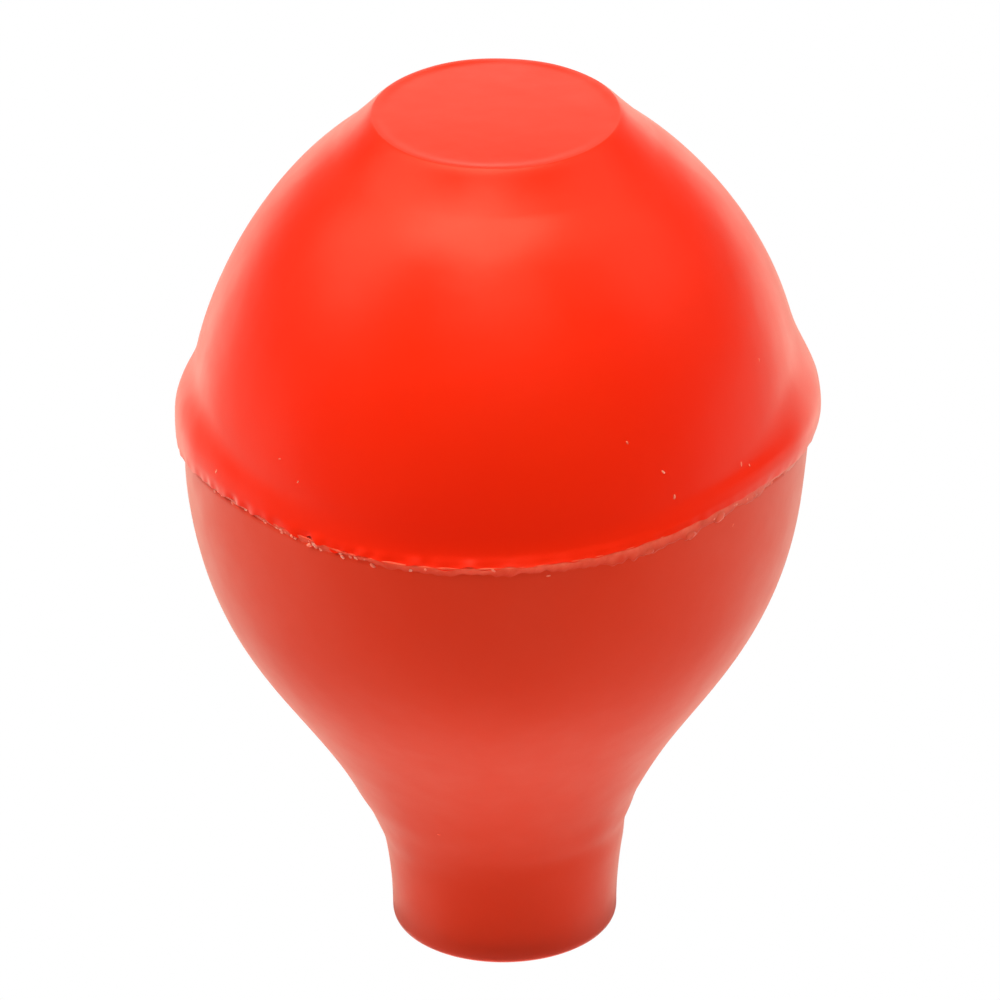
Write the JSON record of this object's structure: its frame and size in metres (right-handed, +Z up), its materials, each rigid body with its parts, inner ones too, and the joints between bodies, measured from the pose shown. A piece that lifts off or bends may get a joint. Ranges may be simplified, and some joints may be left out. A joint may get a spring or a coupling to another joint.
{
  "type": "bobber float",
  "caption": "Bulb-shaped hollow fishing float with a rolled rim at its widest place, a flat crown pad and a short open neck that hides a swivelling wire line eye.",
  "frame": {"origin": "centre of the neck's bottom rim, on the plane that the float stands on", "axes": "+Z up along the float's axis, from the neck to the crown pad; the line eye's loop lies in the XZ plane at rest"},
  "size_m": [0.05, 0.05, 0.0704],
  "materials": {
    "gloss_red": "satin gloss",
    "satin_red": "satin",
    "cement": "translucent cured cement",
    "brass": "turned",
    "nylon": "natural nylon",
    "steel_wire": "bright drawn wire"
  },
  "bodies": {
    "float_body": {"upper_shell": "gloss_red", "lower_shell": "satin_red", "seam_bead": "cement", "ballast_weight": "brass", "neck_plug": "nylon", "thrust_washer": "brass"},
    "line_swivel": {"swivel_eye": "steel_wire"}
  },
  "joints": [
    {"name": "line_swivel_spin", "type": "hinge", "parent": "float_body", "child": "line_swivel", "pos_m": [0, 0, 0.0115], "axis": [0, 0, 1], "continuous": true}
  ]
}
